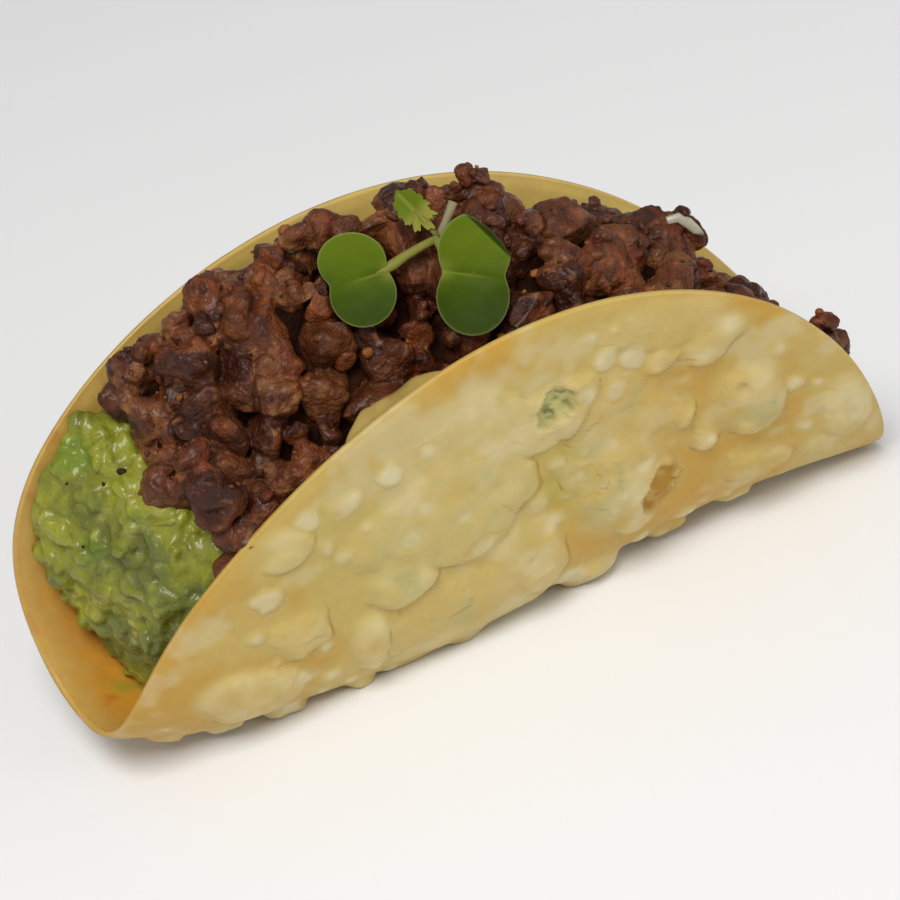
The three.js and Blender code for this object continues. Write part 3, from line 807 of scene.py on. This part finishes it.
def crumb(unit, radius, rng, long=1.0):
    """A torn, blocky crumb with about ten softened faces."""
    salt = int(rng.integers(1, 10000))
    toward = rng.normal(size=(10, 3))
    toward /= np.linalg.norm(toward, axis=1)[:, None]
    height = rng.uniform(0.62, 1.05, 10)
    facing = np.clip(unit @ toward.T, 0, None) / height
    reach = np.minimum(np.maximum((facing**7).sum(1), 0.01) ** (-1 / 7), 1.35)
    swell = reach * (1 + 0.2 * noise(unit + 9, 0.8, salt) + 0.12 * noise(unit + 5, 0.36, salt + 1))
    shape = unit * swell[:, None] * rng.uniform(0.75, 1.1, 3) * (1, 1, long)
    return shape @ random_turn(rng).T * radius


# Crumbs that stand out from the heap: place and radius.
PROUD_CRUMBS = [
    ((40.6, -8, 16.2), 1.8), ((40, -8.2, 18.2), 1.4), ((39.3, -8.4, 20.6), 1.1),
    ((39.1, -8.4, 22.1), 0.7), ((39.6, -7.6, 13.6), 2.2), ((38.4, -7, 11.4), 2.5),
    ((37, -6.4, 10), 2.6), ((10.6, 3.8, 44.8), 1.5), ((10.2, 3.6, 46.3), 0.9),
    ((11.4, 3.4, 45.6), 0.8), ((8.8, 3.8, 44.6), 1.3), ((28, 0.2, 32), 1.8),
    ((29, 0.2, 33.2), 1.2), ((29.8, 0.2, 34), 0.8), ((31, 0.8, 30.8), 1.4),
    ((-26.6, 5, 39.6), 1.2), ((-25.4, 5.4, 41.2), 1), ((-28, 4.6, 37.8), 1.3),
    ((-7.4, 5.4, 46), 1.6), ((-5, 5, 45.6), 1.8), ((-2.4, 5.2, 45.2), 1.7),
    ((0.6, 4.6, 44.4), 1.8), ((-10.6, 5.2, 45.4), 1.6), ((-13.6, 5.4, 43.8), 1.6),
    ((3.4, 4.4, 44.4), 1.6), ((-9.2, 5.4, 44.6), 1.7), ((-12, 5.4, 43.6), 1.6),
    ((6.6, 4.2, 44.6), 1.5), ((5, 4.6, 45.6), 1.1), ((-6.2, 4.6, 47), 1),
    ((-25.2, -8.4, 33.2), 1.9), ((-24.9, -8.6, 30.4), 2), ((-24.8, -8.5, 27.2), 2),
    ((-24.2, -8, 24), 2.1), ((-25.4, -6.4, 36.4), 1.8), ((-24, -7.2, 21), 2),
]


def meat_colours(skin, centres, rng, near):
    """Browns that change from crumb to crumb, each point going with the nearest centre, with
    painted shade between the small lumps.
    """
    tree = KDTree(len(centres))
    for i, c in enumerate(centres):
        tree.insert(Vector(c), i)
    tree.balance()
    owner = np.array([tree.find(Vector(p))[1] for p in skin])
    tone = rng.random(len(centres))[owner]
    hue = rng.random(len(centres))[owner]
    spots = fractal(skin, 1.6, 3, 61)
    bits = smooth(0.62, 0.85, fractal(skin, 0.9, 2, 67))
    colour = coated(rgb(58, 26, 12), (96, 51, 26, smooth(0, 0.8, tone + 0.3 * spots)),
                    (130, 86, 50, smooth(0.7, 1.15, tone + 0.35 * spots) * 0.8),
                    (116, 54, 22, smooth(0.66, 1, hue + 0.35 * spots) * 0.6),
                    (150, 98, 52, bits * 0.4))
    # Painted shade: darker between the small lumps, lighter on their crowns.
    return colour * (0.82 + 0.3 * smooth(0.75, 0.2, near))[:, None]


# Where the seedling presses into the heap: place on its plane, radius and height of the ceiling.
CRESS_HOLLOWS = [(-7.6, -4.2, 5, -0.35), (3.4, -3.7, 6.4, -0.3), (-2.3, 2.5, 2.8, 0),
                 (-1.5, -1, 2.2, -0.65), (0.9, 1.8, 1.9, -0.75)]


def under_cress(points):
    """Presses down what would stand through the seedling's leaves and stalks."""
    axes, hub = cress_frame()
    u, v, w = axes @ (points - hub).T
    ceiling = np.full(len(points), 9.0)
    for cu, cv, reach, lowest in CRESS_HOLLOWS:
        away = np.hypot(u - cu, v - cv)
        ceiling = np.minimum(ceiling, lowest + 9 * smooth(reach, reach + 4, away))
    return points - np.maximum(w - ceiling, 0)[:, None] * axes[2]


# The heap's crumbs in three skins, by x.
HEAPS = (("mince_crumbs_left", -99, -9), ("mince_crumbs_middle", -9, 13.5),
         ("mince_crumbs_right", 13.5, 99))


def make_crumbs(points, faces, rng):
    """The fused crumbs over the heap."""
    unit, unit_faces = ball(CRUMB_LEVEL)
    tree = BVHTree.FromPolygons(points.tolist(), faces)
    lumps = []
    for p, n, r in packed_centres(points, faces, rng):
        sunk = 1.1 if p[0] < -22 or p[0] > 30 else rng.uniform(0.65, 0.95)
        _, _, _, solid = tree.ray_cast(Vector(p - n * 0.02), Vector(-n))
        lumps.append((p - n * min(r * sunk, 0.5 * (solid or 0.0)), r))
    lumps += [(np.array(c), r) for c, r in PROUD_CRUMBS]
    heaps = []
    for name, low, high in HEAPS:
        mine = [(c, r) for c, r in lumps if low <= c[0] < high]
        pieces = [(crumb(unit, r, rng, rng.uniform(1.0, 1.35)) + c, unit_faces) for c, r in mine]
        skin, normals, skin_faces = fused(pieces, CRUMB_VOXEL)
        near, _ = cells(skin, 1.1, 3)
        grain, _ = cells(skin, 0.62, 4)
        relief = 0.16 * (0.62 - near) + 0.14 * (0.6 - grain) + 0.12 * fractal(skin, 1.7, 3, 6)
        skin = under_cress(inside_dough(skin + normals * relief[:, None], 0.1))
        colour = meat_colours(skin, [c for c, _ in mine], rng, near)
        heap = add_mesh(name, skin, skin_faces, MEAT, colour)
        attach(heap, "root")
        heaps.append(heap)
    for heap in heaps:
        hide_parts("mince")
    return heaps


def make_core(points, normals, faces):
    """The mass of mince under the crumbs, coloured darker than them as painted shade in the gaps,
    lighter on its raised lumps.
    """
    depth = 2.3 + 1.6 * smooth(-16, -24, points[:, 0])
    depth = np.minimum(depth, 0.42 * thickness(points, normals, faces))
    pieces = [(points - normals * depth[:, None], faces)]
    skin, skin_normals, skin_faces = fused(pieces, CORE_VOXEL, relax=1)
    near, _ = cells(skin, 2.4, 15)
    grain, _ = cells(skin, 1.2, 16)
    relief = 0.8 * (0.5 - near) + 0.5 * (0.5 - grain)
    skin = inside_dough(skin + skin_normals * relief[:, None], 0.4)
    # Painted shade: the core is darker than the crumbs, lighter on its raised lumps.
    light = smooth(0.65, 0.2, near) * smooth(-0.5, 0.5, fractal(skin, 2, 2, 68))
    core = add_mesh("mince_core", skin, skin_faces, CORE,
                    mix(rgb(34, 15, 7), rgb(66, 33, 16), light))
    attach(core, "root")


def make_mince():
    rng = np.random.default_rng(8)
    points, normals, faces = cad_mesh("mince")
    heaps = make_crumbs(points, faces, rng)
    make_core(points, normals, faces)
    make_grains(heaps, rng)


def surface_tree(objects):
    points, faces = [], []
    for obj in objects:
        start = len(points)
        points.extend(v.co / MM for v in obj.data.vertices)
        faces.extend([i + start for i in poly.vertices] for poly in obj.data.polygons)
    return BVHTree.FromPolygons(points, faces)


def make_grains(heaps, rng):
    """Small loose grains that lie on the crumbs."""
    tree = surface_tree(heaps)
    unit, unit_faces = ball(2)
    tints = [rgb(96, 52, 28), rgb(84, 44, 24), rgb(64, 32, 18), rgb(112, 68, 40), rgb(88, 40, 20),
             rgb(140, 84, 36)]
    pieces, colours = [], []
    for _ in range(GRAIN_TRIES):
        x = rng.uniform(-29, 38)
        y = rng.uniform(-12, 12)
        hit, normal, _, _ = tree.ray_cast(Vector((x, y, 80)), Vector((0, 0, -1)))
        if hit is None or normal.z < 0.2:
            continue
        r = 0.18 + 0.6 * rng.random() ** 3
        piece = under_cress(crumb(unit, r, rng, 1.3) + np.array(hit + normal * r * 0.2))
        pieces.append((piece, unit_faces))
        colours.append(np.tile(tints[rng.integers(len(tints))], (len(piece), 1)))
    grains = add_mesh("mince_grains", *joined(pieces), MEAT, np.concatenate(colours))
    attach(grains, "root")


# ---- the cress

def view_axes(heading, rise, roll):
    """Right, up and outward unit vectors of a plane that looks back along a view."""
    s, c = math.sin(heading), math.cos(heading)
    out = np.array([-s * math.cos(rise), -c * math.cos(rise), math.sin(rise)])
    level = np.array([c, -s, 0])
    upright = np.cross(out, level)
    s, c = math.sin(roll), math.cos(roll)
    return np.array([c * level + s * upright, c * upright - s * level, out])


def cress_frame():
    """Axes of the plane of the seedling's leaves, and its hub in millimetres."""
    return view_axes(**VIEW), np.array(CRESS_HUB) + (0, -CENTRE_Y, BASE_LIFT)


def on_cress(local):
    axes, hub = cress_frame()
    return hub + local @ axes


def tube(path, radii, sides=14):
    """A closed round stalk along a path of local points."""
    path = np.asarray(path, float)
    points = []
    for i, p in enumerate(path):
        ahead = path[min(i + 1, len(path) - 1)] - path[max(i - 1, 0)]
        ahead /= np.linalg.norm(ahead)
        u = np.cross(ahead, (0.1, 0.2, 1.0))
        u /= np.linalg.norm(u)
        v = np.cross(ahead, u)
        for k in range(sides):
            t = 2 * math.pi * k / sides
            points.append(p + radii[i] * (math.cos(t) * u + math.sin(t) * v))
    last = (len(path) - 1) * sides
    faces = []
    for a in range(last):
        b = a + 1 if (a + 1) % sides else a + 1 - sides
        faces.append([a, b, b + sides, a + sides])
    faces += [list(range(sides))[::-1], list(range(last, last + sides))]
    return np.array(points), faces


def lobe_reach(lobe, angle):
    """How far an oval lobe reaches from the leaf's middle, 0 if it isn't that way."""
    u, v, half_u, half_v = lobe
    du, dv = np.cos(angle) / half_u, np.sin(angle) / half_v
    cu, cv = u / half_u, v / half_v
    square = du * du + dv * dv
    along = (du * cu + dv * cv) / square
    inside = along * along - (cu * cu + cv * cv - 1) / square
    return np.where(inside < 0, 0, np.clip(along + np.sqrt(np.clip(inside, 0, None)), 0, None))


def leaf_margin(lobes, angle):
    """Reach of a leaf of two rounded lobes that run together."""
    return sum(lobe_reach(lobe, angle) ** 10 for lobe in lobes) ** 0.1


def toothed_margin(angle):
    """Reach of the long young leaf, with teeth all round but at its stalk."""
    turned = angle - 2.35
    oval = 1 / np.hypot(np.cos(turned) / 2.3, np.sin(turned) / 1.5)
    stalk_side = smooth(-0.2, -0.9, np.cos(turned)) + 0.35
    teeth = 0.17 * np.cos(10 * turned) + 0.1 * np.cos(23 * turned + 1)
    return oval * (1 + teeth * np.clip(stalk_side, 0, 1))


def along_line(u, v, line):
    """Distance from a straight vein, and how far along it (0..1)."""
    start, finish = np.array(line[0]), np.array(line[1])
    run = finish - start
    share = np.clip(((u - start[0]) * run[0] + (v - start[1]) * run[1]) / (run @ run), 0, 1)
    return np.hypot(u - start[0] - share * run[0], v - start[1] - share * run[1]), share


def leaf(centre, margin, cup, vein, fold=None, thick=0.3):
    """A cupped leaf's local points, faces and layers: share of the way out, distance from the
    vein, share of the way along it, fold, and place across and up."""
    spokes, rings = 144, 26
    angle = np.linspace(0, 2 * math.pi, spokes, endpoint=False)
    reach = margin(angle)
    shares = np.linspace(0, 1, rings + 1)[1:] ** 0.8
    share = np.concatenate([[0], np.repeat(shares, spokes)])
    around = np.concatenate([[0], np.tile(angle, rings)])
    r = np.concatenate([[0], (shares[:, None] * reach[None]).ravel()])
    u, v = r * np.cos(around), r * np.sin(around)
    off_vein, vein_share = along_line(u, v, vein)
    lift = cup * share**2 - 0.3 * np.exp(-((off_vein / 0.45) ** 2)) * (1 - 0.6 * vein_share)
    lift += 0.16 * np.sin(2 * around + centre[0]) * share**2
    folded = np.zeros(len(share))
    if fold:
        nu, nv, offset, drop = fold
        past = np.clip(u * nu + v * nv - offset, 0, None)
        u, v, lift = u - past * nu * 0.6, v - past * nv * 0.6, lift - past * drop
        folded = smooth(0, 0.3, past)
    body = thick / 2 * np.sqrt(np.clip(1 - (share * 0.98) ** 8, 0, 1))
    plane = np.stack([centre[0] + u, centre[1] + v], 1)
    top = np.column_stack([plane, centre[2] + lift + body])
    under = np.column_stack([plane, centre[2] + lift - body])
    count = len(top)
    faces = []
    for k in range(spokes):
        a, b = 1 + k, 1 + (k + 1) % spokes
        faces += [[0, a, b], [count, count + b, count + a]]
        for ring in range(rings - 1):
            p, q = a + ring * spokes, b + ring * spokes
            faces.append([p, p + spokes, q + spokes, q])
            faces.append([count + p, count + q, count + q + spokes, count + p + spokes])
        p, q = a + (rings - 1) * spokes, b + (rings - 1) * spokes
        faces.append([p, count + p, count + q, q])
    layers = [np.tile(values, 2) for values in (share, off_vein, vein_share, folded, u, v)]
    return np.concatenate([top, under]), faces, layers


def leaf_colours(layers):
    share, off_vein, vein_share, folded, u, v = layers
    flat = np.stack([u, v, np.zeros(len(u))], 1)
    # Painted shade: the leaf darkens towards its lower part, with some mottle.
    lower_shade_and_mottle = smooth(-0.6, 0.6, 0.2 * fractal(flat, 3, 2, 71) - 0.16 * v)
    vein = np.exp(-((off_vein / 0.1) ** 2)) * smooth(1, 0.3, vein_share)
    joint = smooth(0.3, 0, vein_share) * np.exp(-((off_vein / 0.9) ** 2))
    return coated(rgb(86, 104, 18), (46, 64, 4, lower_shade_and_mottle), (116, 128, 52, vein * 0.6),
                  # Painted shade on the folded margin, which turns away from the light.
                  (118, 126, 48, joint * 0.8), (30, 46, 14, folded * 0.8),
                  (136, 142, 84, smooth(0.965, 0.99, share) * 0.7))


LEFT_LOBES = [(-0.6, 1.7, 3.3, 2.8), (0.5, -1.4, 3.2, 3.2)]
RIGHT_LOBES = [(0.15, 2.2, 3.5, 3.7), (0, -2.2, 3.5, 3.7)]
PALE_STALK = rgb(126, 124, 58)
CUT_STEM = rgb(140, 130, 98)
# Path, radii and colour of the left, right and young leaf's stalks and of the cut stem.
STALKS = [
    ([(0.2, -0.1, 0), (-1.4, -0.9, -0.1), (-3.1, -1.9, 0), (-4.2, -2.7, 0.2),
      (-5, -3.2, 0.3), (-6.2, -3.6, 0.3)], (0.42, 0.42, 0.46, 0.55, 0.5, 0.1), PALE_STALK),
    ([(-0.2, 0, 0), (0.3, -0.9, 0.1), (0.7, -1.9, 0.3), (1.4, -3, 0.45)],
     (0.5, 0.5, 0.5, 0.2), PALE_STALK),
    ([(0.2, -0.2, 0.1), (-0.5, 0.6, 0.3), (-1.1, 1.3, 0.5), (-2.2, 2.4, 0.6)],
     (0.34, 0.3, 0.27, 0.12), PALE_STALK),
    ([(0, -0.3, 0), (0.7, 1.1, -0.1), (1.1, 2.2, -0.1), (1.5, 3.3, -0.1)],
     (0.45, 0.42, 0.42, 0.47), CUT_STEM),
]


def make_cress():
    pieces, colours = [], []
    for centre, lobes, *shape in (
            ((-7.6, -4.2, 0.4), LEFT_LOBES, 0.5, ((3.0, 0.9), (-1.4, -0.5))),
            ((3.4, -3.7, 0.6), RIGHT_LOBES, 0.6, ((-3.0, 0.3), (2.6, -0.4)),
             (0.688, 0.726, 3.6, 0.9))):
        points, faces, layers = leaf(centre, lambda angle: leaf_margin(lobes, angle), *shape)
        pieces.append((points, faces))
        colours.append(leaf_colours(layers))
    points, faces, layers = leaf((-2.3, 2.5, 0.6), toothed_margin, 0.25,
                                 ((1.2, -1.2), (-1.4, 1.4)))
    _, off_vein, _, _, u, v = layers
    pieces.append((points, faces))
    colours.append(coated(rgb(128, 128, 50), (92, 106, 22, smooth(-1.2, 0.6, v - u)),
                          (138, 140, 64, np.exp(-((off_vein / 0.2) ** 2)) * 0.5)))
    for path, radii, colour in STALKS:
        pieces.append(tube(path, radii))
        colours.append(np.tile(colour, (len(pieces[-1][0]), 1)))
    local, faces = joined(pieces)
    cress = add_mesh("cress_seedling", on_cress(local), faces, LEAF, np.concatenate(colours))
    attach(cress, "root")
    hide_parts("cress")


ONION_PLACE = (29.3, -0.8, 33.7)
ONION_PATH = [(-2.3, -0.5, 0), (-1.3, 0.3, 0.2), (-0.2, 0.6, 0.3), (0.8, 0.1, 0.1),
              (1.6, -0.6, -0.3), (2.3, -1, -0.7)]


def make_onion():
    """One translucent shred on the right of the heap."""
    local, faces = tube(ONION_PATH, (0.15, 0.42, 0.5, 0.55, 0.5, 0.15))
    local[:, 2] *= 0.4
    colours = np.tile(rgb(164, 158, 136), (len(local), 1))
    shred = add_mesh("onion", ONION_PLACE + local @ view_axes(**VIEW), faces, ONION, colours)
    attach(shred, "root")


PEPPER_PLACE = (-31.0, 3.5)
SMALL_SPECKS = 6


def make_specks(avocado):
    """Cracked pepper on the avocado: one large piece, then small ones."""
    rng = np.random.default_rng(4)
    tree = surface_tree([avocado])
    unit, unit_faces = ball(2)
    pieces = []
    for k in range(1 + SMALL_SPECKS):
        x, y = PEPPER_PLACE if k == 0 else (rng.uniform(-39, -26), rng.uniform(-5, 8))
        hit, normal, _, _ = tree.ray_cast(Vector((x, y, 60.0)), Vector((0, 0, -1)))
        if hit is None:
            continue
        r = 0.45 if k == 0 else rng.uniform(0.1, 0.24)
        pieces.append((crumb(unit, r, rng) + np.array(hit + normal * r * 0.3), unit_faces))
    points, faces = joined(pieces)
    colours = np.tile(rgb(46, 34, 22), (len(points), 1))
    specks = add_mesh("pepper", points, faces, PEPPER, colours)
    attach(specks, "root")


make_shell()
make_specks(make_avocado())
make_mince()
make_cress()
make_onion()


# ---- stage, light and camera

def make_stage():
    mesh = bpy.data.meshes.new("floor")
    mesh.from_pydata([(-3, -3, 0), (3, -3, 0), (3, 3, 0), (-3, 3, 0)], [], [(0, 1, 2, 3)])
    floor = linked("floor", mesh)
    paint = bpy.data.materials.new("floor")
    paint.use_nodes = True
    shader = paint.node_tree.nodes["Principled BSDF"]
    shader.inputs["Base Color"].default_value = (0.86, 0.86, 0.86, 1)
    shader.inputs["Roughness"].default_value = 0.8
    mesh.materials.append(paint)


ROOM_LIGHT = 0.34
# Area lights: name, place and size in metres, watts.
LAMPS = (("key", (-0.15, -0.3, 0.6), 0.3, 3.5), ("fill", (0.45, -0.45, 0.3), 0.4, 0.8))
LAMP_AIM = Vector((0, 0, 0.02))


def make_light():
    world = bpy.data.worlds.new("room")
    bpy.context.scene.world = world
    world.use_nodes = True
    background = world.node_tree.nodes["Background"]
    background.inputs["Color"].default_value = (1, 1, 1, 1)
    background.inputs["Strength"].default_value = ROOM_LIGHT
    for name, place, size, watts in LAMPS:
        lamp = bpy.data.lights.new(name, "AREA")
        lamp.energy = watts
        lamp.size = size
        obj = linked(name, lamp)
        obj.location = place
        obj.rotation_euler = (LAMP_AIM - Vector(place)).to_track_quat("-Z", "Y").to_euler()


CAMERA_TARGET = Vector((0.02, -1.29 - CENTRE_Y, 20.01 + BASE_LIFT))
CAMERA_DISTANCE = 332.1
CAMERA_LENS = 133.0


def make_camera():
    axes = view_axes(**VIEW)
    data = bpy.data.cameras.new("camera")
    data.lens = CAMERA_LENS
    data.clip_start = 0.01
    camera = linked("camera", data)
    turn = Matrix(axes.tolist()).transposed().to_4x4()
    place = (CAMERA_TARGET + Vector(axes[2]) * CAMERA_DISTANCE) * MM
    camera.matrix_world = Matrix.Translation(place) @ turn
    bpy.context.scene.camera = camera


make_stage()
make_light()
make_camera()
bpy.context.scene.view_settings.view_transform = "Standard"

bpy.context.view_layer.update()
